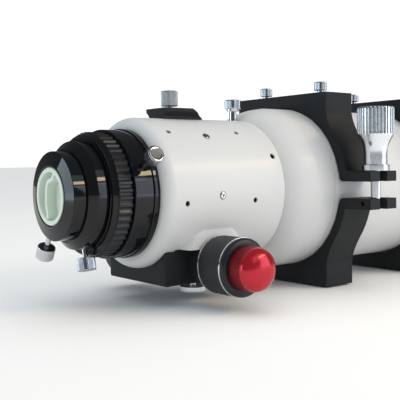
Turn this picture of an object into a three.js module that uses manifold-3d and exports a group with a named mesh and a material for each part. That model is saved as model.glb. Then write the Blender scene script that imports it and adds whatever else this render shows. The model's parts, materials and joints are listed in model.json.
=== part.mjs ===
// Refractor telescope of the 152 mm class, with a rack-and-pinion focuser, two hinged rings and a dew shield.
// Millimetres, +Z up, +X along the optical axis towards the sky, from the centre of the rear ring's foot.
// Stations named X are distances along the optical axis from the rear face of the eyepiece holder.
import * as THREE from "three";
import { mergeVertices } from "three/addons/utils/BufferGeometryUtils.js";
import Module from "manifold-3d";

const wasm = await Module();
wasm.setup();

// ---------------------------------------------------------------- driving dimensions
const GAP = 0.3; // between pieces that touch
const ROUND = 32; // facets of the large turned pieces
const FINE = 12; // facets of the small ones

const TUBE_R = 82.5;
const TUBE_WALL = 2;
const TUBE_START_X = 266.8;
const TUBE_END_X = 690;

const RING_X = [291, 438.6];
const RING_WIDTH = 38.8;
const RING_BORE_R = 84.3;
const RING_OUTER_R = 92.5;
const RING_HALF_WIDTH = 66;
const RING_TOP = 96.5;
const FOOT_DROP = 100.3; // optical axis above the feet
const SPLIT = 6.8; // half the gap between the ring halves
const LUG_END = 122;
const LUG_TOP = 16.8;
const LOWER_SPLIT = 9.6; // the lower lug's top, below the axis
const LOWER_LUG = 20.1;
const WASHER_THICKNESS = 5.7;
const CLAMP_Y = -112.5;
const CLAMP_R = 4.8;
const CLAMP_PIN_Z = -14.4;
const HINGE_Y = 104;
const HINGE_R = 9;
const RING_SCREW_Y = 41;

const DRAW_R = 47;
const DRAW_BORE_R = 44;
const DRAW_START_X = 50.6;
const DRAW_END_X = 228;
const BODY_R = 69;
const BODY_START_X = 74.6;
const BODY_END_X = 211;
const BODY_BORE_R = 56;
const ADAPTER_END_X = 266.4;

const PINION_X = 134;
const PINION_Z = -64;
const PINION_TEETH = 16;
const PITCH_R = 7.6;
const TOOTH = 0.8; // half the height of a tooth
const RACK_BACK = -46.2; // the rack lies in a flat milled along the drawtube
const RACK_HALF_WIDTH = 6;
const FOCUS_LOCK_X = 205.9;
const FINDER_SCREW_X = 127;
const SHAFT_R = 4;
const KNOB_R = 26.1;
const KNOB_START = 62.6; // distance of each coarse knob's inner face from the optical axis
const FINE_KNOB_R = 20.2;
const HOUSING_X = [86, 182];
const HOUSING_HALF_WIDTH = 47;
const HOUSING_BOTTOM = -82;
const BOSS_R = 22;
const FAIRING_R = 35;
const BOSS_FACE = 61;
const TENSION_X = 129;
const TENSION_Y = -30;

const LENS_R = 78;
const CELL_R = 90;
const CELL_START_X = 690.3;
const CELL_END_X = 752;
const DEW_R = 95;
const DEW_START_X = 560;
const DEW_END_X = 790;

const HOLDER_BORE_R = 25.5;
const PLUG_R = 25.07;
const ANGLE_RING_RIBS = 54;
const CLAMP_KNOB_FLUTES = 28;

// ---------------------------------------------------------------- materials
const finish = (color, roughness, metalness) =>
  new THREE.MeshStandardMaterial({ color, roughness, metalness });
const whiteEnamel = finish(0xdddfe0, 0.3, 0);
const glossBlack = finish(0x14161a, 0.15, 0.3);
const satinBlack = finish(0x2c3034, 0.5, 0.2);
const redAnodised = finish(0xb01824, 0.25, 0.6);
const chrome = finish(0xc8cccf, 0.12, 1);
const aluminium = finish(0xc9ced3, 0.3, 1);
const brass = finish(0xb8923f, 0.35, 1);
const palePlastic = finish(0xc6d0c4, 0.4, 0);
const glass = finish(0xa8c0b8, 0.05, 0);
const blackFelt = finish(0x101010, 0.95, 0);
const steel = finish(0x9a9da0, 0.35, 1);

// ---------------------------------------------------------------- solids
function solid(geometry) {
  geometry.deleteAttribute("normal");
  geometry.deleteAttribute("uv");
  const merged = mergeVertices(geometry, 1e-3);
  const triVerts = new Uint32Array(merged.index.array);
  const vertProperties = merged.attributes.position.array;
  const made = new wasm.Manifold(new wasm.Mesh({ numProp: 3, vertProperties, triVerts }));
  if (made.volume() > 0) return made;
  for (let i = 0; i < triVerts.length; i += 3) {
    [triVerts[i], triVerts[i + 1]] = [triVerts[i + 1], triVerts[i]];
  }
  return new wasm.Manifold(new wasm.Mesh({ numProp: 3, vertProperties, triVerts }));
}

function geometryOf(body) {
  const mesh = body.getMesh();
  const geometry = new THREE.BufferGeometry();
  geometry.setAttribute("position", new THREE.BufferAttribute(mesh.vertProperties, 3));
  geometry.setIndex(new THREE.BufferAttribute(mesh.triVerts, 1));
  geometry.computeVertexNormals();
  return geometry;
}

// A body turned about the X axis; the profile is [x, r] points, closed or with both ends on the axis.
function turned(profile, facets = ROUND) {
  const first = profile[0];
  const onAxis = first[1] === 0;
  const loop = onAxis ? profile : [...profile, first];
  const geometry = new THREE.LatheGeometry(loop.map(([x, r]) => new THREE.Vector2(r, x)), facets);
  return solid(geometry.rotateZ(-Math.PI / 2));
}

// A plain ring about the X axis between two stations.
const ring = (x0, x1, bore, outer, facets) =>
  turned([[x0, bore], [x1, bore], [x1, outer], [x0, outer]], facets);

// A plain cylinder between two stations, along X, Y or Z.
const alongX = (x0, x1, radius, facets = FINE) =>
  turned([[x0, 0], [x0, radius], [x1, radius], [x1, 0]], facets);
const alongY = (y0, y1, radius, facets) => alongX(y0, y1, radius, facets).rotate([0, 0, 90]);
const alongZ = (z0, z1, radius, facets) => alongX(z0, z1, radius, facets).rotate([0, -90, 0]);

function box(low, high) {
  const size = high.map((v, i) => v - low[i]);
  const geometry = new THREE.BoxGeometry(...size);
  return solid(geometry.translate(...low.map((v, i) => v + size[i] / 2)));
}

// A flat outline in Y and Z, given a thickness along X from x0 to x1.
function extruded(outline, x0, x1, curveSegments = 12) {
  const geometry = new THREE.ExtrudeGeometry(outline, { depth: x1 - x0, bevelEnabled: false, curveSegments });
  const turn = new THREE.Matrix4().makeBasis(
    new THREE.Vector3(0, 1, 0),
    new THREE.Vector3(0, 0, 1),
    new THREE.Vector3(1, 0, 0),
  );
  return solid(geometry.applyMatrix4(turn).translate(x0, 0, 0));
}

// A round outline whose radius swings between root and crest, count times.
function fluted(count, root, crest, perFlute = 4) {
  const steps = count * perFlute;
  const points = Array.from({ length: steps }, (_, i) => {
    const angle = (i * 2 * Math.PI) / steps;
    const radius = (root + crest) / 2 + ((crest - root) / 2) * Math.cos(count * angle);
    return new THREE.Vector2(radius * Math.cos(angle), radius * Math.sin(angle));
  });
  return new THREE.Shape(points);
}

const telescope = new THREE.Group();
const optics = new THREE.Group();
optics.position.set(-RING_X[0], 0, FOOT_DROP);
telescope.add(optics);

function add(name, body, material, parent = optics) {
  const mesh = new THREE.Mesh(geometryOf(body), material);
  mesh.name = name;
  parent.add(mesh);
  return mesh;
}

// ---------------------------------------------------------------- thumbscrews
// The screw lies along +X from its tip: a stem, a collar under the head, and a knurled head.
function thumbscrew({ stem, stemR, collar = 0, collarR = stemR, head, headR }) {
  const neck = stem + collar;
  return turned(
    [
      [0, 0],
      [0, stemR],
      [stem, stemR],
      ...(collar ? [[stem, collarR], [neck, collarR]] : []),
      [neck, headR],
      [neck + head - 0.8, headR],
      [neck + head, headR - 0.8],
      [neck + head, 0],
    ],
    12,
  );
}

// Places a screw square to the optical axis, at a station, an angle from +Y and a radius of its tip.
function addRadialScrew(name, shape, material, { x, angle, tip }) {
  const holder = new THREE.Group();
  holder.position.set(x, 0, 0);
  holder.rotation.x = THREE.MathUtils.degToRad(angle);
  const mesh = add(name, thumbscrew(shape), material, holder);
  mesh.position.set(0, tip, 0);
  mesh.rotation.z = Math.PI / 2;
  optics.add(holder);
}

// The hole that such a screw runs in.
const radialHole = (x, angle, from, to, radius) =>
  alongY(from, to, radius, 10).rotate([angle, 0, 0]).translate([x, 0, 0]);

// ---------------------------------------------------------------- eyepiece end
const HOLDER_SCREW = { x: 9, angle: -61, tip: 27.6 };
const REDUCER_SCREW = { x: 26.4, angle: -103.5, tip: 30.4 };
const ROTATOR_SCREW = { x: 60.5, angle: 154.5, tip: 47.8 };
const smallScrew = { stem: 24.5, stemR: 2.3, head: 11.5, headR: 8 };

// The plug's grip: a wall that curves from one side of the cup to the other.
function gripOutline() {
  const halfThick = 1.5;
  const path = new THREE.SplineCurve(
    [[-6.2, 19.8], [-3, 15], [4.5, 12.5], [8, 6], [8.5, -1], [9, -8], [7, -14], [6.3, -19.8]]
      .map(([y, z]) => new THREE.Vector2(y, z)),
  );
  const side = (sign) => Array.from({ length: 15 }, (_, i) => {
    const along = path.getTangent(i / 14);
    return path.getPoint(i / 14).add(new THREE.Vector2(-along.y, along.x).multiplyScalar(sign * halfThick));
  });
  return new THREE.Shape([...side(1), ...side(-1).reverse()]);
}

function addEyepieceEnd() {
  const lipX = 3;
  const holderEnd = 14.6;
  const holder = turned([
    [0, HOLDER_BORE_R], [5.6, HOLDER_BORE_R], [5.6, 27.3], [12.4, 27.3], [12.4, HOLDER_BORE_R],
    [holderEnd, HOLDER_BORE_R], [holderEnd, 38.5], [lipX, 38.5], [0.4, 27.2], [0, 26.8],
  ]);
  const screwHole = radialHole(HOLDER_SCREW.x, HOLDER_SCREW.angle, 26, 42, 2.6);
  add("eyepiece_holder", holder.subtract(screwHole), glossBlack);
  add("compression_ring", ring(6, 12, 25.4, 27, 24), brass);
  addRadialScrew("holder_screw", smallScrew, chrome, HOLDER_SCREW);

  const plugDepth = 13;
  const recess = 9.5;
  const cupR = 20.6;
  const cup = turned([
    [0, cupR], [recess, cupR], [recess, 0], [plugDepth, 0], [plugDepth, PLUG_R], [0, PLUG_R],
  ]);
  add("dust_plug", cup.add(extruded(gripOutline(), 1.2, recess + 1)), palePlastic);

  const reducer = turned([
    [14.9, 27.5], [31.3, 27.5], [31.3, 46], [30.3, 47.2], [20.8, 47.2], [14.9, 40.6],
  ]);
  const reducerHole = radialHole(REDUCER_SCREW.x, REDUCER_SCREW.angle, 26, 50, 2.6);
  add("reducer_ring", reducer.subtract(reducerHole), glossBlack);
  addRadialScrew("reducer_screw", smallScrew, chrome, REDUCER_SCREW);

  const rotator = turned([
    [31.6, 34], [64, 34], [64, 43.6], [35.4, 43.6], [35.4, 54.6], [31.6, 52.5],
  ]);
  add("rotator_ring", rotator, glossBlack);
  const ribbed = extruded(fluted(ANGLE_RING_RIBS, 54.2, 55.4, 2), 35.8, 49.8);
  add("camera_angle_ring", ribbed.subtract(alongX(30, 55, 44, ROUND)), satinBlack);

  const lockHole = radialHole(ROTATOR_SCREW.x, ROTATOR_SCREW.angle, 46, 60, 2.6);
  add("rotator_housing", ring(50.2, 68.4, DRAW_R + GAP, 57.6).subtract(lockHole), glossBlack);
  const lockShape = { stem: 24, stemR: 2.3, head: 10, headR: 7.6 };
  addRadialScrew("rotator_lock_screw", lockShape, chrome, ROTATOR_SCREW);
  add("drawtube_flange", ring(68.7, 74.3, DRAW_R + GAP, 58.6), glossBlack);
}

// ---------------------------------------------------------------- focuser
function addFocuserBody() {
  const shoulder = 10;
  const bend = [0, 0.25, 0.5, 0.75, 1].map((t) => {
    const angle = (t * Math.PI) / 2;
    return [BODY_START_X + shoulder * (1 - Math.cos(angle)), 60.2 + (BODY_R - 60.2) * Math.sin(angle)];
  });
  const shell = turned([
    [BODY_START_X, DRAW_R + 0.5], [84, DRAW_R + 0.5], [84, BODY_BORE_R], [BODY_END_X, BODY_BORE_R],
    [BODY_END_X, BODY_R], ...bend.reverse(),
  ]);
  const fairing = alongY(-BOSS_FACE, BOSS_FACE, FAIRING_R, 32).translate([PINION_X, 0, PINION_Z]);
  const upper = box([PINION_X - 40, -70, -49.6], [PINION_X + 40, 70, 0]);
  const inside = alongX(84.5, BODY_END_X, BODY_BORE_R, ROUND);
  const boss = fairing.intersect(upper).subtract(inside);
  const boreForBoss = alongY(-70, 70, BOSS_R + GAP, 24).translate([PINION_X, 0, PINION_Z]);
  const slotHalf = RACK_HALF_WIDTH + 1;
  const rackSlot = box([BODY_START_X - 5, -slotHalf, -58.6], [BODY_END_X + 1, slotHalf, -40]);
  const shaftSlot = box([PINION_X - 11, -40, -80], [PINION_X + 11, 40, -52]);
  const lockHole = alongZ(50, 75, 4.1, 16).translate([FOCUS_LOCK_X, 0, 0]);
  const body = shell.add(boss).subtract(boreForBoss).subtract(rackSlot).subtract(shaftSlot)
    .subtract(lockHole);
  // Station, angle above the horizontal on the -Y side, and radius of each drilled hole.
  const holes = [
    [95.8, -6.7, 2.2], [173.8, -6.7, 2.2], [95.3, 52.4, 2.2], [173.9, 52.4, 2.2], [202.7, 27.9, 2.9],
  ];
  const drilled = holes.reduce(
    (sum, [x, up, radius]) => sum.subtract(radialHole(x, 180 - up, 64, 72, radius)),
    body,
  );
  add("focuser_body", drilled, whiteEnamel);
  const lockShape = { stem: 15.5, stemR: 3.7, collar: 2.2, collarR: 6.3, head: 9.3, headR: 8.2 };
  addRadialScrew("focuser_lock_screw", lockShape, chrome, { x: FOCUS_LOCK_X, angle: 90, tip: 63 });
  const guide = ring(196, 204, DRAW_R + GAP, BODY_BORE_R - GAP).subtract(rackSlot);
  add("front_guide_ring", guide, palePlastic);
}

function addFinderShoe() {
  const shoeX = [111, 143];
  const slopeEnd = 157;
  const base = 60;
  const top = 78.5;
  const neckHalf = 11.5;
  const flangeHalf = 16;
  const section = new THREE.Shape();
  section.moveTo(-neckHalf, base);
  section.lineTo(neckHalf, base);
  section.lineTo(neckHalf, 71.5);
  section.lineTo(flangeHalf, 75.3);
  section.lineTo(flangeHalf, top);
  section.lineTo(-flangeHalf, top);
  section.lineTo(-flangeHalf, 75.3);
  section.lineTo(-neckHalf, 71.5);
  const bar = extruded(section, shoeX[0], slopeEnd);
  const slope = box([0, -30, 0], [40, 30, 40]).rotate([0, 32, 0]).translate([shoeX[1], 0, top]);
  const seat = alongX(60, 220, BODY_R + GAP, ROUND);
  const screwHole = alongZ(60, 90, 2.9, 16).translate([FINDER_SCREW_X, 0, 0]);
  add("finder_shoe", bar.subtract(slope).subtract(seat).subtract(screwHole), satinBlack);
  const screw = { stem: 11, stemR: 2.5, head: 14.5, headR: 8 };
  addRadialScrew("finder_screw", screw, steel, { x: FINDER_SCREW_X, angle: 90, tip: 69.8 });
}

// The rack along X and the pinion about Y share one pitch, with trapezoid teeth.
const PITCH = (2 * Math.PI * PITCH_R) / PINION_TEETH;
const RACK_TEETH = 35;

function addRack() {
  const start = PINION_X - 3.5 * PITCH;
  const length = RACK_TEETH * PITCH;
  const tooth = new THREE.Shape();
  const root = PINION_Z + PITCH_R + TOOTH + 0.2;
  const crest = PINION_Z + PITCH_R - TOOTH;
  tooth.moveTo(start, RACK_BACK);
  tooth.lineTo(start, root);
  for (let i = 0; i < RACK_TEETH; i += 1) {
    const middle = start + (i + 0.5) * PITCH;
    tooth.lineTo(middle - 0.98, root);
    tooth.lineTo(middle - 0.4, crest);
    tooth.lineTo(middle + 0.4, crest);
    tooth.lineTo(middle + 0.98, root);
  }
  tooth.lineTo(start + length, root);
  tooth.lineTo(start + length, RACK_BACK);
  const geometry = new THREE.ExtrudeGeometry(tooth, { depth: 2 * RACK_HALF_WIDTH, bevelEnabled: false });
  add("rack", solid(geometry.rotateX(Math.PI / 2).translate(0, RACK_HALF_WIDTH, 0)), steel);
}

function pinionOutline() {
  const outline = [];
  for (let i = 0; i < PINION_TEETH; i += 1) {
    const middle = ((i + 0.5) * 2 * Math.PI) / PINION_TEETH + Math.PI / 2;
    const half = Math.PI / PINION_TEETH;
    const corners = [[-0.66, -TOOTH - 0.2], [-0.26, TOOTH], [0.26, TOOTH], [0.66, -TOOTH - 0.2]];
    corners.forEach(([turn, out]) => {
      const angle = middle + turn * half;
      const radius = PITCH_R + out;
      outline.push(new THREE.Vector2(radius * Math.cos(angle), radius * Math.sin(angle)));
    });
  }
  return new THREE.Shape(outline);
}

function addDrive() {
  const drive = new THREE.Group();
  drive.position.set(PINION_X, 0, PINION_Z);
  optics.add(drive);
  const gear = new THREE.ExtrudeGeometry(pinionOutline(), { depth: 13, bevelEnabled: false });
  const teeth = solid(gear.rotateX(Math.PI / 2).translate(0, 6.5, 0));
  add("pinion_shaft", teeth.add(alongY(-91, 87, SHAFT_R)), steel, drive);

  const near = turned([
    [KNOB_START, SHAFT_R + GAP], [92, SHAFT_R + GAP], [92, 8], [99, 8], [99, 21.5], [96.6, 24.6],
    [95, KNOB_R], [KNOB_START + 1, KNOB_R], [KNOB_START, KNOB_R - 1],
  ], 28);
  add("coarse_knob_near", near.rotate([0, 0, -90]), satinBlack, drive);
  const far = turned([
    [KNOB_START, SHAFT_R + GAP], [88, SHAFT_R + GAP], [88, 0], [97, 0], [97, 21.5], [95, KNOB_R],
    [KNOB_START + 1, KNOB_R], [KNOB_START, KNOB_R - 1],
  ].reverse(), 28);
  add("coarse_knob_far", far.rotate([0, 0, 90]), satinBlack, drive);
  const dome = [0, 0.25, 0.5, 0.75].map((t) => {
    const angle = (t * Math.PI) / 2;
    return [111 + 13 * Math.sin(angle), FINE_KNOB_R * Math.cos(angle)];
  });
  const fine = turned([
    [92.6, 0], [92.6, 7.6], [99.4, 7.6], [99.4, FINE_KNOB_R - 0.6], [100.4, FINE_KNOB_R], ...dome, [124, 0],
  ], 24);
  add("fine_knob", fine.rotate([0, 0, -90]), redAnodised, drive);
}

function addHousing() {
  const middle = (HOUSING_X[0] + HOUSING_X[1]) / 2;
  const half = HOUSING_HALF_WIDTH;
  const block = box([HOUSING_X[0], -half, HOUSING_BOTTOM], [HOUSING_X[1], half, -49.8]);
  const below = box([0, -half - 1, -100], [300, half + 1, HOUSING_BOTTOM]);
  const bosses = alongY(-BOSS_FACE, BOSS_FACE, BOSS_R, 24).translate([PINION_X, 0, PINION_Z]).subtract(below);
  const saddle = alongX(middle - 70, middle + 70, BODY_R + GAP, ROUND);
  const shaftBore = alongY(-70, 70, SHAFT_R + 0.6, 20).translate([PINION_X, 0, PINION_Z]);
  const gearPocket = alongY(-7.5, 7.5, PITCH_R + 2.2, 20).translate([PINION_X, 0, PINION_Z]);
  const seat = (y0, y1) => alongY(y0, y1, 9, 20).translate([PINION_X, 0, PINION_Z]);
  const screwHole = alongZ(-90, -74, 3.4, 16).translate([TENSION_X, TENSION_Y, 0]);
  const housing = block.add(bosses).subtract(saddle).subtract(shaftBore).subtract(gearPocket)
    .subtract(seat(-70, -54.5)).subtract(seat(54.5, 70)).subtract(screwHole);
  add("pinion_housing", housing, satinBlack);

  ["near", "far"].forEach((side, i) => {
    const bearing = ring(-3, 3, SHAFT_R + GAP, 8.7, 20);
    const mesh = add("pinion_bearing_" + side, bearing, steel);
    mesh.rotation.z = Math.PI / 2;
    mesh.position.set(PINION_X, i === 0 ? -57.8 : 57.8, PINION_Z);
  });

  const knob = turned([
    [0, 0], [0, 3], [11, 3], [11, 11.6], [11.6, 12.1], [16, 12.1], [16.6, 11.4], [16.6, 0],
  ], 20);
  const tension = add("tension_knob", knob, aluminium);
  tension.rotation.y = Math.PI / 2;
  tension.position.set(TENSION_X, TENSION_Y, -75.4);
}

function addDrawtube() {
  const tube = ring(DRAW_START_X, DRAW_END_X, DRAW_BORE_R, DRAW_R);
  const half = RACK_HALF_WIDTH + GAP;
  const flat = box([BODY_START_X, -half, -DRAW_R - 1], [DRAW_END_X + 1, half, RACK_BACK + GAP]);
  add("drawtube", tube.subtract(flat), glossBlack);
}

// ---------------------------------------------------------------- tube and objective
function addTube() {
  const flare = [[211.4, 69.6], [215, 72.8], [220, 76.2], [226, 78.9], [233.5, 80.9], [244, TUBE_R]];
  add("tube_adapter", turned([
    [211.4, 62], [222, 62], [236, 77], [276, 77], [276, 80.2], [ADAPTER_END_X, 80.2], [ADAPTER_END_X, TUBE_R],
    ...flare.reverse(),
  ]), whiteEnamel);
  const inner = TUBE_R - TUBE_WALL;
  add("main_tube", ring(TUBE_START_X, TUBE_END_X, inner, TUBE_R), whiteEnamel);
  add("rear_baffle", ring(420, 422, 58, inner - GAP), satinBlack);
  add("front_baffle", ring(560, 562, 68, inner - GAP), satinBlack);
}

function addObjective() {
  add("objective_cell", turned([
    [676, 74], [700, 74], [700, LENS_R + 0.4], [CELL_END_X, LENS_R + 0.4], [CELL_END_X, CELL_R],
    [CELL_START_X, CELL_R], [CELL_START_X, 80.2], [676, 80.2],
  ]), satinBlack);
  const bulge = (x, sag, steps = 3) => Array.from({ length: steps + 1 }, (_, i) => {
    const r = (LENS_R * (steps - i)) / steps;
    return [x + sag * (1 - (r / LENS_R) ** 2), r];
  });
  const crown = [[718.6, 0], ...bulge(722, -3.4).reverse().slice(1), ...bulge(731, 4.2)];
  add("crown_lens", turned(crown, ROUND), glass);
  add("flint_lens", turned([[703.5, 0], [703.5, LENS_R], ...bulge(720.4, -3.4)], ROUND), glass);
  add("lens_spacer", ring(720.8, 721.6, 76.6, LENS_R), aluminium);
  add("lens_retainer", ring(731.6, 738, 76, LENS_R), satinBlack);
}

function addDewShield() {
  const inner = DEW_R - 2.5;
  add("dew_shield", turned([
    [DEW_START_X, 85.4], [DEW_START_X + 12, 85.4], [DEW_START_X + 12, inner], [DEW_END_X, inner],
    [DEW_END_X, DEW_R], [DEW_START_X, DEW_R],
  ]), whiteEnamel);
  add("dew_felt", ring(DEW_START_X + 1, DEW_START_X + 11, TUBE_R + 0.5, 85.1), blackFelt);
  const capFace = DEW_END_X + GAP;
  add("dust_cap", turned([
    [capFace + 3, 0], [capFace + 3, 96], [capFace + 1.4, 97.6], [DEW_END_X - 16, 97.6],
    [DEW_END_X - 16, DEW_R + 0.4], [capFace, DEW_R + 0.4], [capFace, 0],
  ]), satinBlack);
}

// ---------------------------------------------------------------- mounting rings
// One half's outline in Y and Z: lug, wall, fillet into the flat block, and the same on the hinge side.
function ringOutline(sign, reach, lugInside, lugOutside) {
  const outline = new THREE.Shape();
  const at = (y, z) => outline.lineTo(y, sign * z);
  const chamfer = 4;
  const innerY = Math.sqrt(RING_BORE_R ** 2 - SPLIT ** 2);
  const lugRootY = Math.sqrt(RING_BORE_R ** 2 - lugInside ** 2);
  const wallY = Math.sqrt(RING_OUTER_R ** 2 - lugOutside ** 2);
  const arc = (radius, from, to, steps) => {
    for (let i = 0; i <= steps; i += 1) {
      const angle = THREE.MathUtils.degToRad(from + ((to - from) * i) / steps);
      at(radius * Math.cos(angle), radius * Math.sin(angle));
    }
  };
  const angleAt = (z, radius) => THREE.MathUtils.radToDeg(Math.asin(z / radius));
  const lugAngle = angleAt(lugOutside, RING_OUTER_R);
  const flareAngle = 30;
  outline.moveTo(-lugRootY - chamfer, sign * lugInside);
  at(-LUG_END, lugInside);
  at(-LUG_END, lugOutside);
  at(-wallY, lugOutside);
  arc(RING_OUTER_R, 180 - lugAngle, 180 - flareAngle, 3);
  const fillet = (side, order) => {
    const from = [side * RING_OUTER_R * Math.cos(flareAngle * THREE.MathUtils.DEG2RAD), RING_OUTER_R / 2];
    const to = [side * RING_HALF_WIDTH, 77];
    const turn = [side * (RING_HALF_WIDTH + 1), 66];
    const curve = new THREE.QuadraticBezierCurve(
      new THREE.Vector2(...from), new THREE.Vector2(...turn), new THREE.Vector2(...to),
    );
    const points = curve.getPoints(4);
    (order > 0 ? points : points.reverse()).forEach((p) => at(p.x, p.y));
  };
  fillet(-1, 1);
  at(-RING_HALF_WIDTH, reach);
  at(RING_HALF_WIDTH, reach);
  fillet(1, -1);
  arc(RING_OUTER_R, flareAngle, angleAt(LUG_TOP, RING_OUTER_R) / 2, 4);
  at(innerY + chamfer, SPLIT);
  arc(RING_BORE_R, angleAt(SPLIT + chamfer, RING_BORE_R), 180 - angleAt(lugInside + chamfer, RING_BORE_R), 20);
  return outline;
}

function clampSlot() {
  const width = CLAMP_R + 0.7;
  return box([-width, -LUG_END - 5, -30], [width, CLAMP_Y, 30])
    .add(alongZ(-30, 30, width, 12).translate([0, CLAMP_Y, 0]));
}

function hingeKnuckle(x0, x1, sign) {
  const round = alongX(x0, x1, HINGE_R, 16).translate([0, HINGE_Y, 0]);
  const [low, high] = [0, sign * LUG_TOP].sort((a, b) => a - b);
  const web = box([x0, 86.5, low], [x1, HINGE_Y + HINGE_R / 2, high]);
  return round.add(web).subtract(alongX(-30, 30, RING_BORE_R, ROUND));
}

const pinBore = (radius, y, z) => alongX(-40, 40, radius, 12).translate([0, y, z]);

function addRing(name, x) {
  const mount = new THREE.Group();
  mount.position.set(x, 0, 0);
  optics.add(mount);
  const half = RING_WIDTH / 2;
  const third = RING_WIDTH / 6;
  const innerThird = third - 0.4;

  const lowerBody = extruded(ringOutline(-1, FOOT_DROP, LOWER_SPLIT, LOWER_LUG), -half, half)
    .add(hingeKnuckle(-half, -third, -1)).add(hingeKnuckle(third, half, -1));
  const relief = alongX(-third, third, HINGE_R + 0.6, 16).translate([0, HINGE_Y, 0]);
  const footHole = (y) => alongZ(-FOOT_DROP - 1, -FOOT_DROP + 11, 3.3, 10).translate([0, y, 0]);
  const lower = lowerBody.subtract(relief).subtract(clampSlot()).subtract(pinBore(2.3, CLAMP_Y, CLAMP_PIN_Z))
    .subtract(pinBore(3.3, HINGE_Y, 0)).subtract(footHole(-17.5)).subtract(footHole(17.5));
  add(name + "_ring_lower", lower, satinBlack, mount);

  const knuckleRelief = (x0, x1) => alongX(x0, x1, HINGE_R + 0.6, 16).translate([0, HINGE_Y, 0]);
  const upperBody = extruded(ringOutline(1, RING_TOP, SPLIT, LUG_TOP), -half, half)
    .subtract(knuckleRelief(-half - 1, -innerThird)).subtract(knuckleRelief(innerThird, half + 1))
    .add(hingeKnuckle(-innerThird, innerThird, 1));
  const topHole = (y) => alongZ(RING_TOP - 7, RING_TOP + 1, 3.6, 10).translate([0, y, 0]);
  const upper = upperBody.subtract(clampSlot()).subtract(pinBore(3.3, HINGE_Y, 0))
    .subtract(topHole(-RING_SCREW_Y)).subtract(topHole(RING_SCREW_Y));
  add(name + "_ring_upper", upper, satinBlack, mount);

  const liner = ring(-half + 1, half - 1, TUBE_R + 0.5, RING_BORE_R - GAP);
  const edge = LOWER_SPLIT + 5;
  const away = box([-40, -100, -100], [40, 100, edge]);
  add(name + "_liner_upper", liner.subtract(away), blackFelt, mount);
  add(name + "_liner_lower", liner.subtract(away.rotate([180, 0, 0])), blackFelt, mount);

  add(name + "_hinge_pin", alongX(-half + 0.5, half - 0.5, 3, 12).translate([0, HINGE_Y, 0]), steel, mount);
  add(name + "_clamp_pin", alongX(-16, 16, 2, 10).translate([0, CLAMP_Y, CLAMP_PIN_Z]), steel, mount);
  const bolt = alongZ(CLAMP_PIN_Z - 4.6, 31, CLAMP_R, 16).translate([0, CLAMP_Y, 0]);
  add(name + "_clamp_bolt", bolt.subtract(pinBore(2.3, CLAMP_Y, CLAMP_PIN_Z)), chrome, mount);

  const washerTop = LUG_TOP + GAP + WASHER_THICKNESS;
  const washer = ring(LUG_TOP + GAP, washerTop, 6.2, 13.2, 24).rotate([0, -90, 0]);
  add(name + "_clamp_washer", washer.translate([0, CLAMP_Y, 0]), aluminium, mount);
  const base = washerTop + GAP;
  const neck = turned([
    [base, 0], [base, 11.2], [base + 12.5, 11.2], [base + 18, 12.1], [base + 23, 14],
    [base + 27.3, 16.4], [base + 29.3, 16.6], [base + 29.3, 0],
  ], 24).subtract(alongX(base - 1, base + 9, 6.2));
  const head = extruded(fluted(CLAMP_KNOB_FLUTES, 16.6, 17.7, 2), base + 29.1, base + 55.8);
  const knob = neck.add(head).rotate([0, -90, 0]);
  add(name + "_clamp_knob", knob.translate([0, CLAMP_Y, 0]), aluminium, mount);

  const screw = { stem: 10, stemR: 3.2, head: 9, headR: 6.6 };
  [["near", -RING_SCREW_Y], ["far", RING_SCREW_Y]].forEach(([side, y]) => {
    const mesh = add(name + "_top_screw_" + side, thumbscrew(screw), chrome, mount);
    mesh.rotation.y = -Math.PI / 2;
    mesh.position.set(0, y, RING_TOP - 6.4);
  });
}

addEyepieceEnd();
addFocuserBody();
addFinderShoe();
addRack();
addDrive();
addHousing();
addDrawtube();
addTube();
addObjective();
addDewShield();
addRing("rear", RING_X[0]);
addRing("front", RING_X[1]);

export default telescope;
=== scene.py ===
import json
import math

import bmesh
import bpy
from mathutils import Matrix, Vector

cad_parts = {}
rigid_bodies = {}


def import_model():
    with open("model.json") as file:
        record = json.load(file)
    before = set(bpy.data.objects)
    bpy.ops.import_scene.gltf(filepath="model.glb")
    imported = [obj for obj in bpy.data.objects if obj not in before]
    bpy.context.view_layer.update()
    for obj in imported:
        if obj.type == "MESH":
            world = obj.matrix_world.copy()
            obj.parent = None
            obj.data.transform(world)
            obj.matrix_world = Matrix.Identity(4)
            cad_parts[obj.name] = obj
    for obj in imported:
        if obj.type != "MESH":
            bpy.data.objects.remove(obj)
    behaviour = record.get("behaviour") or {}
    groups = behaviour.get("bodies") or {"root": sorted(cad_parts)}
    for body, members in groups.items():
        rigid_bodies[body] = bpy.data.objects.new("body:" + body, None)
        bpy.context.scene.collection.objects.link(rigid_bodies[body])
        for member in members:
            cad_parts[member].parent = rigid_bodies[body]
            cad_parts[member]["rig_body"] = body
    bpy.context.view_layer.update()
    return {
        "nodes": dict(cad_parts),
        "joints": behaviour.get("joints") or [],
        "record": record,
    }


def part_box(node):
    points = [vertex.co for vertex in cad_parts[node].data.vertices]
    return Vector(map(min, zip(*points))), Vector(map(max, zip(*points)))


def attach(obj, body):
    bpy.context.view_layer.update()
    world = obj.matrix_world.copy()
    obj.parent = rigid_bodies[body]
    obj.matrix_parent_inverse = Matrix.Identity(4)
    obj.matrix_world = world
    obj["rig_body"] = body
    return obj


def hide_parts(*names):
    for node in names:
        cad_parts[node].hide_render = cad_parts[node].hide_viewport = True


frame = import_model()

MM = 0.001
NODE_SLOT = {row["node"]: row["material_slot"] for row in frame["record"]["subparts"]}
NODE_BODY = {name: node["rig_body"] for name, node in frame["nodes"].items()}
JOINTS = {joint["name"]: joint for joint in frame["joints"]}
LARGE = 160
MEDIUM = 96
SMALL = 48
EDGE = 0.3
GAP = 0.3


# ---------------------------------------------------------------- places
def centre_of(node):
    low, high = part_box(node)
    return (low + high) / 2


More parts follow.
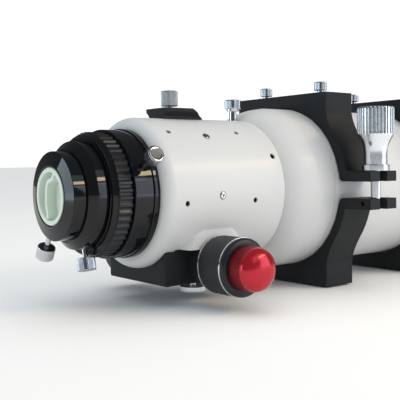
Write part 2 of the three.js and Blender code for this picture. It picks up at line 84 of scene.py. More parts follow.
def frame_along(origin, direction, roll=0):
    """A local frame at origin whose X axis lies along direction, turned by roll degrees about it."""
    turn = Vector((1, 0, 0)).rotation_difference(Vector(direction)).to_matrix().to_4x4()
    return Matrix.Translation(origin) @ turn @ Matrix.Rotation(math.radians(roll), 4, "X")


AXIS_Z = centre_of("main_tube").z
REAR_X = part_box("eyepiece_holder")[0].x
OPTICS = Matrix.Translation((REAR_X, 0, AXIS_Z))
PINION = Vector(JOINTS["coarse_focus_turn"]["pos_m"])
NEAR_DRIVE = frame_along(PINION, (0, -1, 0))
FAR_DRIVE = frame_along(PINION, (0, 1, 0))


def station(x, y=0.0, z=0.0):
    """A point given in millimetres from the eyepiece holder's rear face and the optical axis."""
    return Vector((REAR_X + x * MM, y * MM, AXIS_Z + z * MM))


def in_optics(x):
    """A row-frame length along X as millimetres from the eyepiece holder's rear face."""
    return (x - REAR_X) / MM


# ---------------------------------------------------------------- meshes
def piece(name, vertices, faces, place=None, scale=MM):
    mesh = bpy.data.meshes.new(name)
    mesh.from_pydata([Vector(v) * scale for v in vertices], [], faces)
    work = bmesh.new()
    work.from_mesh(mesh)
    bmesh.ops.recalc_face_normals(work, faces=work.faces)
    work.to_mesh(mesh)
    work.free()
    made = bpy.data.objects.new(name, mesh)
    bpy.context.scene.collection.objects.link(made)
    made.matrix_world = place or Matrix.Identity(4)
    return made


def bend_point(start, turn, end, t):
    """The point at t, from 0 to 1, on the curve from start to end that bends towards turn."""
    return start * (1 - t) ** 2 + turn * 2 * t * (1 - t) + end * t * t


def soften(corners, closed, steps=3, default=EDGE):
    """A profile whose corners are rounded: each corner is (a, b) or (a, b, radius)."""
    count = len(corners)
    softened = []
    for i, corner in enumerate(corners):
        here = Vector(corner[:2])
        radius = corner[2] if len(corner) > 2 else default
        ends = not closed and i in (0, count - 1)
        before = Vector(corners[i - 1][:2]) - here
        after = Vector(corners[(i + 1) % count][:2]) - here
        if ends or radius == 0 or before.length < 1e-6 or after.length < 1e-6:
            softened.append(tuple(here))
            continue
        reach = min(radius, 0.45 * before.length, 0.45 * after.length)
        start = here + before.normalized() * reach
        end = here + after.normalized() * reach
        softened += [tuple(bend_point(start, here, end, k / steps)) for k in range(steps + 1)]
    return softened


def spline(points, steps=6):
    """A smooth run of points through the given ones."""
    run = [Vector(p) for p in points]
    padded = [run[0] * 2 - run[1], *run, run[-1] * 2 - run[-2]]
    smooth = []
    for i in range(1, len(padded) - 2):
        a, b, c, d = padded[i - 1:i + 3]
        for k in range(steps):
            t = k / steps
            smooth.append(0.5 * (2 * b + (c - a) * t + (2 * a - 5 * b + 4 * c - d) * t * t
                                 + (3 * b - a - 3 * c + d) * t ** 3))
    smooth.append(run[-1])
    return [(*p, 0) for p in smooth]


def even_angles(count):
    return [2 * math.pi * i / count for i in range(count)]


def ribbed_angles(ribs, fractions):
    return [2 * math.pi * (i + f) / ribs for i in range(ribs) for f in fractions]


def lathe(name, corners, place=None, angles=None, shape=None, rounding=EDGE, scale=MM):
    """A body turned about its local X axis from (x, r) corners. shape(x, r, angle) may move a point."""
    angles = angles or even_angles(LARGE)
    solid_end = corners[0][1] == 0
    profile = soften(corners, not solid_end, default=rounding)
    rows = []
    vertices = []
    for x, r in profile:
        if r < 1e-6:
            rows.append([len(vertices)] * len(angles))
            vertices.append((x, 0, 0))
            continue
        rows.append(list(range(len(vertices), len(vertices) + len(angles))))
        for angle in angles:
            px, pr = shape(x, r, angle) if shape else (x, r)
            vertices.append((px, pr * math.cos(angle), pr * math.sin(angle)))
    faces = []
    pairs = list(zip(rows, rows[1:])) + ([] if solid_end else [(rows[-1], rows[0])])
    for low, high in pairs:
        for i in range(len(angles)):
            j = (i + 1) % len(angles)
            face = [low[i], low[j], high[j], high[i]]
            face = [v for k, v in enumerate(face) if v not in face[:k]]
            if len(face) > 2:
                faces.append(face)
    return piece(name, vertices, faces, place, scale)


def ring(name, x0, x1, bore, outer, place=None, **options):
    return lathe(name, [(x0, bore), (x1, bore), (x1, outer), (x0, outer)], place, **options)


def rod(name, x0, x1, radius, place=None, count=SMALL, rounding=0):
    corners = [(x0, 0), (x0, radius), (x1, radius), (x1, 0)]
    return lathe(name, corners, place, even_angles(count), rounding=rounding)


def extruded(name, outline, x0, x1, place=None):
    """A flat (y, z) outline in millimetres given a thickness along X."""
    count = len(outline)
    vertices = [(x0, y, z) for y, z in outline] + [(x1, y, z) for y, z in outline]
    faces = [list(range(count)), list(range(2 * count - 1, count - 1, -1))]
    faces += [[i, (i + 1) % count, count + (i + 1) % count, count + i] for i in range(count)]
    return piece(name, vertices, faces, place)


def block(name, low, high, place=None):
    y0, z0, y1, z1 = low[1], low[2], high[1], high[2]
    return extruded(name, [(y0, z0), (y1, z0), (y1, z1), (y0, z1)], low[0], high[0], place)


def applied(target):
    """Turns the object's modifiers into its mesh."""
    graph = bpy.context.evaluated_depsgraph_get()
    target.data = bpy.data.meshes.new_from_object(target.evaluated_get(graph))
    target.modifiers.clear()
    return target


def combine(target, operation, *tools):
    for tool in tools:
        boolean = target.modifiers.new(operation.lower(), "BOOLEAN")
        boolean.operation = operation
        boolean.solver = "EXACT"
        boolean.object = tool
        bpy.context.view_layer.update()
        applied(target)
        bpy.data.objects.remove(tool)
    return target


def cut(target, *tools):
    return combine(target, "DIFFERENCE", *tools)


def join(target, *tools):
    return combine(target, "UNION", *tools)


def shaded(target, angle=32):
    """Smooth shading between close angles, with the wide faces kept flat."""
    target.data.shade_smooth()
    target.data.set_sharp_from_angle(angle=math.radians(angle))
    weighted = target.modifiers.new("flat", "WEIGHTED_NORMAL")
    weighted.keep_sharp = True
    weighted.weight = 100
    return applied(target)


def bevelled(target, width, segments=2, angle=30):
    """Small rounded edges."""
    bevel = target.modifiers.new("bevel", "BEVEL")
    bevel.width = width * MM
    bevel.segments = segments
    bevel.limit_method = "ANGLE"
    bevel.angle_limit = math.radians(angle)
    return shaded(applied(target), 50)


# ---------------------------------------------------------------- materials
class Nodes:
    """One material's node tree, with the few nodes that the finishes are made of."""

    def __init__(self, name):
        self.material = bpy.data.materials.new(name)
        self.material.use_nodes = True
        self.tree = self.material.node_tree
        self.shader = self.tree.nodes["Principled BSDF"]
        coordinates = self.add("ShaderNodeTexCoord")
        self.object_point = coordinates.outputs["Object"]

    def add(self, kind, **values):
        node = self.tree.nodes.new(kind)
        for key, value in values.items():
            setattr(node, key, value)
        return node

    def link(self, output, target):
        self.tree.links.new(output, target)

    def set(self, **sockets):
        for key, value in sockets.items():
            self.shader.inputs[key.replace("_", " ")].default_value = value
        return self

    def noise(self, scale, detail=3.0, roughness=0.5, point=None):
        node = self.add("ShaderNodeTexNoise")
        node.inputs["Scale"].default_value = scale
        node.inputs["Detail"].default_value = detail
        node.inputs["Roughness"].default_value = roughness
        self.link(point or self.object_point, node.inputs["Vector"])
        return node.outputs["Fac"]

    def turning(self, scale):
        """Noise that changes only along a turned piece's profile, for the marks a lathe leaves."""
        split = self.add("ShaderNodeSeparateXYZ")
        self.link(self.object_point, split.inputs[0])
        flat = self.add("ShaderNodeCombineXYZ")
        self.link(split.outputs["Y"], flat.inputs["Y"])
        self.link(split.outputs["Z"], flat.inputs["Z"])
        radius = self.add("ShaderNodeVectorMath", operation="LENGTH")
        self.link(flat.outputs[0], radius.inputs[0])
        total = self.add("ShaderNodeMath", operation="ADD")
        self.link(split.outputs["X"], total.inputs[0])
        self.link(radius.outputs["Value"], total.inputs[1])
        node = self.add("ShaderNodeTexNoise", noise_dimensions="1D")
        node.inputs["Scale"].default_value = scale
        node.inputs["Detail"].default_value = 2.0
        self.link(total.outputs[0], node.inputs["W"])
        return node.outputs["Fac"]

    def mapped(self, value, low, high, start=0.3, end=0.7):
        node = self.add("ShaderNodeMapRange")
        node.inputs["From Min"].default_value = start
        node.inputs["From Max"].default_value = end
        node.inputs["To Min"].default_value = low
        node.inputs["To Max"].default_value = high
        self.link(value, node.inputs["Value"])
        return node.outputs["Result"]

    def roughness(self, value, low, high):
        self.link(self.mapped(value, low, high), self.shader.inputs["Roughness"])
        return self

    def colour(self, value, dark, light):
        ramp = self.add("ShaderNodeValToRGB")
        ramp.color_ramp.elements[0].position = 0.3
        ramp.color_ramp.elements[0].color = (*dark, 1)
        ramp.color_ramp.elements[1].position = 0.7
        ramp.color_ramp.elements[1].color = (*light, 1)
        self.link(value, ramp.inputs["Fac"])
        self.link(ramp.outputs["Color"], self.shader.inputs["Base Color"])
        return self

    def bump(self, *layers):
        """Layers of (height, distance in metres), one over another."""
        normal = None
        for height, distance in layers:
            node = self.add("ShaderNodeBump")
            node.inputs["Strength"].default_value = 1.0
            node.inputs["Distance"].default_value = distance
            self.link(height, node.inputs["Height"])
            if normal:
                self.link(normal, node.inputs["Normal"])
            normal = node.outputs["Normal"]
        self.link(normal, self.shader.inputs["Normal"])
        return self


def shades(base, spread):
    return tuple(c * (1 - spread) for c in base), tuple(min(1, c * (1 + spread)) for c in base)


def enamel():
    """Sprayed gloss paint: a faint orange peel under a clear gloss."""
    n = Nodes("white_enamel_paint")
    n.set(Coat_Weight=0.12, Coat_Roughness=0.2, IOR=1.45)
    n.colour(n.noise(9, 2), *shades((0.655, 0.665, 0.672), 0.012))
    n.roughness(n.noise(60, 3), 0.38, 0.46)
    return n.bump((n.noise(420, 2), 0.00001), (n.noise(1800, 2), 0.000003)).material


def anodised(name, base, low, high, turned=True, metal=0.0, grain=0.000002, spread=0.12, specular=0.4):
    """Dyed anodising over turned or bead-blasted aluminium."""
    n = Nodes(name)
    n.set(Metallic=metal, Specular_IOR_Level=specular)
    n.colour(n.noise(35, 3), *shades(base, spread))
    n.roughness(n.noise(140, 4, 0.6), low, high)
    layers = [(n.noise(5200, 2), grain)]
    if turned:
        layers.append((n.turning(2600), grain * 1.2))
    return n.bump(*layers).material


def metal(name, base, low, high, marks=0.0000012, scale=2200, turned=True, spread=0.02):
    """Bare or plated metal with its turning marks, fine scratches and uneven polish."""
    n = Nodes(name)
    n.set(Metallic=1.0)
    n.colour(n.noise(25, 4), *shades(base, spread))
    n.roughness(n.noise(300, 4, 0.65), low, high)
    layers = [(n.noise(3800, 3), marks * 0.2)]
    if turned:
        layers.append((n.turning(scale), marks))
    return n.bump(*layers).material


def plastic():
    """Milky moulded plastic."""
    n = Nodes("pale_moulded_plastic")
    n.set(Subsurface_Weight=0.35, Subsurface_Scale=0.004, IOR=1.46)
    n.shader.inputs["Subsurface Radius"].default_value = (0.8, 1.0, 0.8)
    n.colour(n.noise(60, 3), *shades((0.66, 0.74, 0.66), 0.03))
    n.roughness(n.noise(400, 3), 0.32, 0.46)
    return n.bump((n.noise(1500, 3), 0.000008)).material


def felt(name, base):
    n = Nodes(name)
    n.set(Sheen_Weight=0.4, Sheen_Roughness=0.5)
    n.colour(n.noise(1500, 4, 0.7), *shades(base, 0.5))
    n.roughness(n.noise(900, 2), 0.9, 1.0)
    return n.bump((n.noise(2600, 4, 0.8), 0.00025)).material


def coated_glass():
    n = Nodes("coated_glass")
    n.set(IOR=1.52, Transmission_Weight=1.0, Coat_Weight=0.3, Coat_Roughness=0.02)
    n.shader.inputs["Coat Tint"].default_value = (0.45, 0.9, 0.62, 1)
    n.colour(n.noise(12, 2), (0.93, 0.98, 0.96), (0.97, 1.0, 0.985))
    return n.roughness(n.noise(700, 3), 0.0, 0.012).material


FINISH = {
    "white_enamel": enamel(),
    "gloss_black": anodised("gloss_black_anodised", (0.0065, 0.0068, 0.008), 0.035, 0.06, grain=0.0000003,
                            specular=0.34),
    "satin_black": anodised("satin_black_anodised", (0.0145, 0.0165, 0.0185), 0.5, 0.6, False,
                            grain=0.00001, spread=0.08, specular=0.2),
    "red_anodised": anodised("red_anodised_gloss", (0.5, 0.018, 0.035), 0.16, 0.22, metal=0.5, spread=0.05,
                             grain=0.0000005, specular=0.5),
    "chrome_plate": metal("chrome_plated", (0.6, 0.62, 0.65), 0.06, 0.1, 0.0000001),
    "bright_aluminium": metal("bright_turned_aluminium", (0.8, 0.83, 0.87), 0.18, 0.24, 0.0000001),
    "brass": metal("spring_brass", (0.78, 0.56, 0.22), 0.25, 0.35),
    "pale_plastic": plastic(),
    "optical_glass": coated_glass(),
    "black_felt": felt("black_felt_cloth", (0.012, 0.012, 0.013)),
    "grey_steel": metal("grey_steel_satin", (0.46, 0.465, 0.475), 0.3, 0.42),
}
FLAT_BLACK = anodised("flat_black_paint", (0.007, 0.007, 0.008), 0.75, 0.9, False, grain=0.00003)
KNURLED_BLACK = anodised("knurled_black", (0.012, 0.013, 0.016), 0.3, 0.4, False, grain=0.000006)
DARK_BORE = anodised("dark_bore", (0.004, 0.004, 0.005), 0.6, 0.8, False)
DARK_RED = anodised("red_anodised_satin", (0.2, 0.006, 0.014), 0.34, 0.44, False, metal=0.6)
SCREW_FACE = metal("faced_screw_end", (0.2, 0.21, 0.22), 0.5, 0.6)


def dress(made, material):
    made.data.materials.clear()
    made.data.materials.append(material)
    return made


def stand_in(made, node, *more, material=None):
    """The piece rides on its CAD node's body, stands for it and takes its slot's finish."""
    slot = NODE_SLOT[node]
    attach(dress(made, material or FINISH[slot]), NODE_BODY[node])
    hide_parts(node, *more)
    return made


def extra(made, body, slot, material=None):
    """A small piece that has no CAD node of its own."""
    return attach(dress(made, material or FINISH[slot]), body)


# ---------------------------------------------------------------- screws
def knurled_head(x0, x1, depth, count):
    """Moves the points of a head's rim inwards in fine straight grooves."""
    def shape(x, r, angle):
        inside = x0 + 0.7 < x < x1 - 0.7
        wave = abs(math.sin(angle * count / 2)) ** 0.7
        return x, r - (depth * (1 - wave) if inside and r > 4 else 0)
    return shape


def thumbscrew(name, place, stem, stem_r, head, head_r, collar=0.0, collar_r=0.0, knurls=40, dish=0.5):
    """A screw along local X from its tip at 0: stem, collar and knurled head with a dished end."""
    neck = stem + collar
    top = neck + head
    corners = [(0, 0), (0, stem_r - 0.5), (0.6, stem_r, 0.1), (stem, stem_r, 0.2)]
    if collar:
        corners += [(stem, collar_r, 0.4), (neck, collar_r, 0.2)]
    corners += [
        (neck, head_r - 0.3, 0.5), (neck + 0.9, head_r, 0.3), (neck + 1.3, head_r, 0),
        (top - 1.3, head_r, 0), (top - 0.8, head_r, 0.4), (top, head_r - 0.9, 0.5),
        (top, head_r - 2.2, 0.3), (top - dish, head_r - 3, 0.3), (top - dish, 0),
    ]
    angles = ribbed_angles(knurls, (0, 0.25, 0.5, 0.75))
    made = shaded(lathe(name, corners, place, angles, knurled_head(neck, top, 0.2, knurls)), 40)
    made["faced_from"] = (top - dish) * MM
    return made


def faced(made):
    """The flat end inside a screw head's bright rim is left as it was turned."""
    made.data.materials.append(SCREW_FACE)
    for face in made.data.polygons:
        if abs(face.center.x - made["faced_from"]) < 0.00001:
            face.material_index = 1
    return made


def screw_frame(node, tip):
    """The frame of a screw whose turning joint gives its axis; tip is its tip's distance along it."""
    joint = next(j for j in frame["joints"] if j["child"] == NODE_BODY[node] and j["type"] == "hinge")
    axis = Vector(joint["axis"])
    return frame_along(Vector(joint["pos_m"]) + axis * tip * MM, axis)


def radial(x, up, out, roll=0):
    """A frame on the near side, up degrees above the horizontal, out from the optical axis at station x."""
    angle = math.radians(up)
    direction = Vector((0, -math.cos(angle), math.sin(angle)))
    return frame_along(station(x) + direction * out * MM, direction, roll)


def socket_screw(name, place, radius, height, body, slot="chrome_plate", socket=0.5):
    """A small screw head with a hexagon socket, along local X from its seat."""
    made = lathe(name, [(-1, 0), (-1, radius), (height, radius, 0.25), (height, 0)], place, even_angles(24))
    cut(made, rod(name + "_socket", height - 0.8 * radius, height + 1, radius * socket, place, 6))
    return extra(shaded(made), body, slot)


# ---------------------------------------------------------------- eyepiece end
def eyepiece_end():
    holder = lathe("holder_body", [
        (0, 25.5), (5.6, 25.5), (5.6, 27.3), (12.4, 27.3), (12.4, 25.5), (14.6, 25.5), (14.6, 38.5, 0.5),
        (3, 38.5, 0.5), (0.4, 27.2, 0.2), (0, 26.8, 0.2),
    ], OPTICS)
    hole = rod("hole", -4, 12, 2.5, screw_frame("holder_screw", 30))
    stand_in(shaded(cut(holder, hole)), "eyepiece_holder")
    reducer = lathe("reducer_body", [
        (14.9, 27.5), (31.3, 27.5), (31.3, 46), (30.3, 47.2, 0.4), (20.8, 47.2, 0.4), (14.9, 40.6, 0.3),
    ], OPTICS)
    hole = rod("hole", -4, 20, 2.5, screw_frame("reducer_screw", 30))
    stand_in(shaded(cut(reducer, hole)), "reducer_ring")
    rotator = lathe("rotator_body", [
        (31.6, 34), (64, 34), (64, 43.6), (35.4, 43.6), (35.4, 54.6, 0.2), (31.6, 52.5, 0.5),
        (31.6, 50.8, 0.2), (32.1, 50.5, 0.1), (32.1, 48.3, 0.1), (31.6, 48, 0.2),
    ], OPTICS)
    stand_in(shaded(rotator), "rotator_ring")
    for i, angle in enumerate((35, 155, 275)):
        turn = math.radians(angle)
        place = frame_along(station(32.1, -49.4 * math.cos(turn), 49.4 * math.sin(turn)), (-1, 0, 0))
        socket_screw(f"rotator_face_screw_{i}", place, 1.0, 0.45, "camera_rotator", "gloss_black")

    ribs = 54
    angles = ribbed_angles(ribs, (0.1, 0.36, 0.58, 0.84))

    def rib(x, r, angle):
        along = angle * ribs / (2 * math.pi) % 1
        return x, r - (1.1 if along > 0.5 and r > 50 else 0)

    grip = lathe("camera_angle_body", [
        (35.8, 44), (49.8, 44), (49.8, 54.4, 0), (49.2, 55.4, 0.2), (36.4, 55.4, 0.2), (35.8, 54.4, 0),
    ], OPTICS, angles, rib)
    stand_in(shaded(grip, 25), "camera_angle_ring", material=KNURLED_BLACK)

    housing = lathe("rotator_housing_body", [
        (50.2, 47.3), (68.4, 47.3), (68.4, 57.6, 0.5), (50.2, 57.6, 0.7),
    ], OPTICS)
    lock = screw_frame("rotator_lock_screw", 47.8)
    cut(housing, rod("hole", -2, 14, 2.5, lock), rod("counterbore", 8.8, 14, 4.2, lock))
    stand_in(shaded(housing), "rotator_housing")
    socket_screw("housing_set_screw", radial(61.5, -40, 57.0), 1.1, 0.5, "drawtube")
    flange = [(68.7, 47.3), (74.3, 47.3), (74.3, 58.6, 0.4), (68.7, 58.6, 0.9)]
    stand_in(shaded(lathe("flange_body", flange, OPTICS)), "drawtube_flange")

    tube_low, tube_high = (in_optics(v.x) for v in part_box("drawtube"))
    tube = ring("drawtube_body", tube_low, tube_high, 44, 47, OPTICS)
    rack_back = (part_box("rack")[1].z - AXIS_Z) / MM
    flat = block("flat", (74.6, -6.3, -60), (tube_high + 5, 6.3, rack_back + GAP), OPTICS)
    stand_in(shaded(cut(tube, flat)), "drawtube")

    small = {"stem_r": 2.3, "head": 11.5, "head_r": 8}
    holder_screw = thumbscrew("holder_thumbscrew", screw_frame("holder_screw", 27.6), 24.5, **small)
    faced(stand_in(holder_screw, "holder_screw"))
    reducer_screw = thumbscrew("reducer_thumbscrew", screw_frame("reducer_screw", 30.4), 24.5, **small)
    faced(stand_in(reducer_screw, "reducer_screw"))
    lock_screw = thumbscrew("rotator_thumbscrew", lock, 24, 2.3, 10, 7.6)
    faced(stand_in(lock_screw, "rotator_lock_screw"))


def plug():
    """The dust plug: a shallow cup with a curved grip wall standing in its recess."""
    cup = lathe("dust_plug_body", [
        (13, 0), (13, 24.6, 1), (1, 25.0, 0.3), (0, 24.6, 0.5), (0, 21, 0.6), (9.5, 20, 1.2), (9.5, 0),
    ], OPTICS)
    path = spline([(-6.2, 19.8), (-3, 15), (4.5, 12.5), (8, 6), (8.5, -1), (9, -8), (7, -14), (6.3, -19.8)])
    run = [Vector(p[:2]) for p in path]
    sides = ([], [])
    for i, here in enumerate(run):
        along = (run[min(i + 1, len(run) - 1)] - run[max(i - 1, 0)]).normalized()
        across = Vector((-along.y, along.x)) * 1.5
        sides[0].append(tuple(here + across))
        sides[1].append(tuple(here - across))
    grip = extruded("grip", sides[0] + sides[1][::-1], 1.0, 10, OPTICS)
    join(cup, grip)
    stand_in(shaded(cup, 40), "dust_plug")


# ---------------------------------------------------------------- focuser body
FAIRING_R = 35.8
BOSS_FACE = 61
BODY_R = 69
HOUSING_TOP = -49.6
PINION_X = in_optics(PINION.x)
PINION_Z = (PINION.z - AXIS_Z) / MM


def focuser_body():
    shoulder = [(74.6 + 10 * (1 - math.cos(t)), 60.2 + (BODY_R - 60.2) * math.sin(t), 0)
                for t in [i * math.pi / 24 for i in range(12, -1, -1)]]
    stations = [(170.2 + 40.3 * k / 20, BODY_R, 0) for k in range(20, 0, -1)]
    stations += [(170 - 0.5 * k, BODY_R, 0) for k in range(0, 145)]
    stations += [(97 - k, BODY_R, 0) for k in range(0, 12)]
    corners = [
        (74.6, 47.6), (84, 47.6), (84, 56), (211.2, 56), (211.2, BODY_R - 0.2, 0), (211, BODY_R, 0),
        *stations, *shoulder,
    ]
    body = lathe("focuser_shell", corners, OPTICS, even_angles(360))
    ramp = 2.2
    for vertex in body.data.vertices:
        x, y, z = vertex.co / MM
        inside = FAIRING_R - math.hypot(x - PINION_X, z - PINION_Z)
        if inside <= 0 or z > 0 or z < HOUSING_TOP - 4 or math.hypot(y, z) < BODY_R - 1:
            continue
        t = min(1, inside / ramp)
        raised = max(0, BOSS_FACE - abs(y)) * t * t * (3 - 2 * t)
        vertex.co.y += math.copysign(raised, y) * MM
    cutters = [
        block("under", (PINION_X - 38, -70, -90), (PINION_X + 38, 70, HOUSING_TOP), OPTICS),
        rod("boss_bore", -70, 70, 22.3, NEAR_DRIVE, MEDIUM),
        rod("lock_hole", 50, 75, 4.1, frame_along(station(205.9), (0, 0, 1))),
    ]
    holes = [
        (95.3, 52.4, 2.5), (173.9, 52.5, 2.5), (95.8, -6.7, 2.5), (173.8, -6.7, 2.5), (202.7, 27.9, 2.9),
    ]
    set_screws = [("upper", 134.2, 47.7), ("lower", 134.7, -1.85)]
    cutters += [rod("hole", -6, 3, r, radial(x, up, BODY_R)) for x, up, r in holes]
    cutters += [rod("seat", -1.5, 9, 3.7, radial(x, up, BODY_R)) for _, x, up in set_screws]
    cut(body, *cutters)
    stand_in(shaded(body, 38), "focuser_body")
    for i, (x, up, r) in enumerate(holes):
        sunk = [(-5, 0), (-5, r - 0.1), (-1.4, r - 0.1), (-1.4, r * 0.5, 0.2), (-3, r * 0.5, 0.1), (-3, 0)]
        screw = lathe(f"hole_screw_{i}", sunk, radial(x, up, BODY_R), even_angles(24))
        extra(shaded(screw), "focuser", "gloss_black", DARK_BORE)
    for name, x, up in set_screws:
        domed = [
            (-2, 0), (-2, 3.2), (0.5, 3.2, 0.3), (0.9, 2.3, 0.4), (0.9, 1.3, 0.15),
            (-0.6, 1.2, 0.1), (-0.6, 0),
        ]
        screw = lathe(f"body_screw_{name}", domed, radial(x, up, BODY_R), even_angles(36))
        extra(shaded(screw), "focuser", "chrome_plate")
    lock_place = screw_frame("focuser_lock_screw", 63)
    lock = thumbscrew("focuser_thumbscrew", lock_place, 15.5, 3.7, 9.3, 8.2, 2.2, 6.3)
    faced(stand_in(lock, "focuser_lock_screw"))


def finder_shoe():
    neck, flange, base, edge, top = 11.5, 16, 60, 75.3, 78.5
    outline = soften([
        (-neck, base, 0), (neck, base, 0), (neck, 71.2, 0.8), (flange, edge, 0.4), (flange, top, 0.5),
        (-flange, top, 0.5), (-flange, edge, 0.4), (-neck, 71.2, 0.8),
    ], True)
    shoe = extruded("finder_shoe_body", outline, 111, 157, OPTICS)
    slope = Matrix.Rotation(math.radians(32), 4, "Y")
    slope_start = OPTICS @ Matrix.Translation((0.143, 0, top * MM)) @ slope
    cut(
        shoe,
        block("front_slope", (0, -20, 0), (30, 20, 30), slope_start),
        rod("seat", 90, 190, BODY_R + 0.15, OPTICS, 360),
        rod("screw_hole", 60, 90, 2.9, frame_along(station(127), (0, 0, 1))),
    )
    bevelled(shoe, 0.35)
    stand_in(shoe, "finder_shoe")
    finder = thumbscrew("finder_thumbscrew", screw_frame("finder_screw", 69.8), 11, 2.5, 14.5, 8, knurls=60)
    faced(stand_in(finder, "finder_screw"))


# ---------------------------------------------------------------- focus drive
def focus_drive():
    barrel, start = 26.1, 62.6
    ribs = 100
    angles = ribbed_angles(ribs, (0, 0.25, 0.5, 0.75))

    def straight(x, r, angle):
        wave = 0.5 + 0.5 * math.cos(angle * ribs)
        return x, r - (0.28 * wave if r > barrel - 0.6 and start + 3 < x < 92.6 else 0)

    skin = [
        (94.6, barrel - 0.2, 0), (93.2, barrel - 0.2, 0), (92.9, barrel, 0), (92.5, barrel, 0),
        (66, barrel, 0), (65.4, barrel - 0.2, 0), (64.2, barrel - 0.2, 0), (63.6, barrel, 0.2),
        (start, barrel - 0.9, 0.3),
    ]
    near = lathe("coarse_knob_near_body", [
        (start, 4.3), (92, 4.3), (92, 8), (99, 8), (99, 22.4, 0.5), (98.6, 24, 0.5), (97, 25.8, 0.6),
        *skin,
    ], NEAR_DRIVE, angles, straight)
    stand_in(shaded(near, 40), "coarse_knob_near", material=KNURLED_BLACK)
    far = lathe("coarse_knob_far_body", [
        (97, 0), (97, 18, 0.5), (96.2, 20, 0.4), (96.2, 22, 0.4), (95, barrel - 0.4, 0.8),
        *skin,
        (start, 4.3), (88, 4.3), (88, 0),
    ], FAR_DRIVE, angles, straight)
    stand_in(shaded(far, 40), "coarse_knob_far", material=KNURLED_BLACK)
    for side, drive in (("near", NEAR_DRIVE), ("far", FAR_DRIVE)):
        for end, x in (("inner", 64.8), ("outer", 93.9)):
            band = ring(f"knob_band_{side}_{end}", x - 0.75, x + 0.75, barrel - 0.6, barrel + 0.15, drive)
            extra(shaded(band), "pinion", "bright_aluminium")

    fine_r = 20.2
    grooves = 64

    def skirt(x, r, angle):
        wave = 0.5 + 0.5 * math.cos(angle * grooves)
        return x, r - (0.35 * wave if r > fine_r - 1.4 and 100 < x < 112.2 else 0)

    dome = [(113.4 + 10.6 * math.sin(t), (fine_r - 1.3) * math.cos(t) ** 0.8, 0)
            for t in [i * math.pi / 40 for i in range(20)]]
    fine = lathe("fine_knob_body", [
        (92.6, 0), (92.6, 7.6), (99.4, 7.6), (99.4, fine_r - 0.9, 0.4), (100.0, fine_r - 0.3, 0),
        (100.2, fine_r - 0.3, 0), (112, fine_r - 0.9, 0), (112.4, fine_r - 0.9, 0),
        (112.9, fine_r - 0.9, 0.2), *dome, (124, 0),
    ], NEAR_DRIVE, ribbed_angles(grooves, (0, 0.25, 0.5, 0.75)), skirt)
    stand_in(shaded(fine, 40), "fine_knob")
    fine.data.materials.append(DARK_RED)
    for face in fine.data.polygons:
        if 0.0994 < face.center.x < 0.1124:
            face.material_index = 1


def housing():
    low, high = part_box("pinion_housing")
    x0, x1 = in_optics(low.x), in_optics(high.x)
    half, bottom, top = 47, -82, -49.8
    body = block("pinion_housing_body", (x0, -half, bottom), (x1, half, top), OPTICS)
    bevel = body.modifiers.new("corner", "BEVEL")
    bevel.width = 2.2 * MM
    bevel.segments = 3
    bevel.limit_method = "ANGLE"
    applied(body)
    bosses = rod("bosses", -BOSS_FACE, BOSS_FACE, 22, NEAR_DRIVE, MEDIUM)
    cut(bosses, block("below", (x0 - 9, -99, -120), (x1 + 9, 99, bottom), OPTICS))
    join(body, bosses)
    tension = Vector(JOINTS["tension_turn"]["pos_m"])
    screw_axis = frame_along(tension, (0, 0, -1))
    cut(
        body,
        rod("saddle", x0 - 20, x1 + 20, BODY_R + GAP, OPTICS, 360),
        rod("shaft_bore", -70, 70, 4.6, NEAR_DRIVE),
        rod("gear_pocket", -7.5, 7.5, 9.8, NEAR_DRIVE),
        rod("near_seat", 54.5, 70, 9, NEAR_DRIVE),
        rod("far_seat", 54.5, 70, 9, FAR_DRIVE),
        rod("tension_hole", -8, 12, 3.4, screw_axis),
    )
    bevelled(body, 0.5)
    stand_in(body, "pinion_housing")
    place = frame_along((tension.x, tension.y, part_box("tension_knob")[1].z), (0, 0, -1))
    knob = lathe("tension_knob_body", [
        (0, 0), (0, 3), (11, 3), (11, 11.4, 0.4), (11.5, 12.1, 0.2), (12, 12.1, 0), (15.4, 12.1, 0),
        (16.1, 11.9, 0.3), (16.6, 11.2, 0.4), (16.6, 8, 0.3), (16.2, 7.4, 0.2), (16.2, 0),
    ], place, ribbed_angles(48, (0, 0.25, 0.5, 0.75)), knurled_head(11, 16.6, 0.35, 48))
    stand_in(shaded(knob, 40), "tension_knob")
    for i, (x, y) in enumerate(((x0 + 9, -37), (x1 - 9, -37), (x0 + 9, 37), (x1 - 9, 37))):
        socket_screw(f"housing_screw_{i}", frame_along(station(x, y, bottom + 0.3), (0, 0, -1)), 3.2, 1.6,
                     "focuser", "gloss_black")


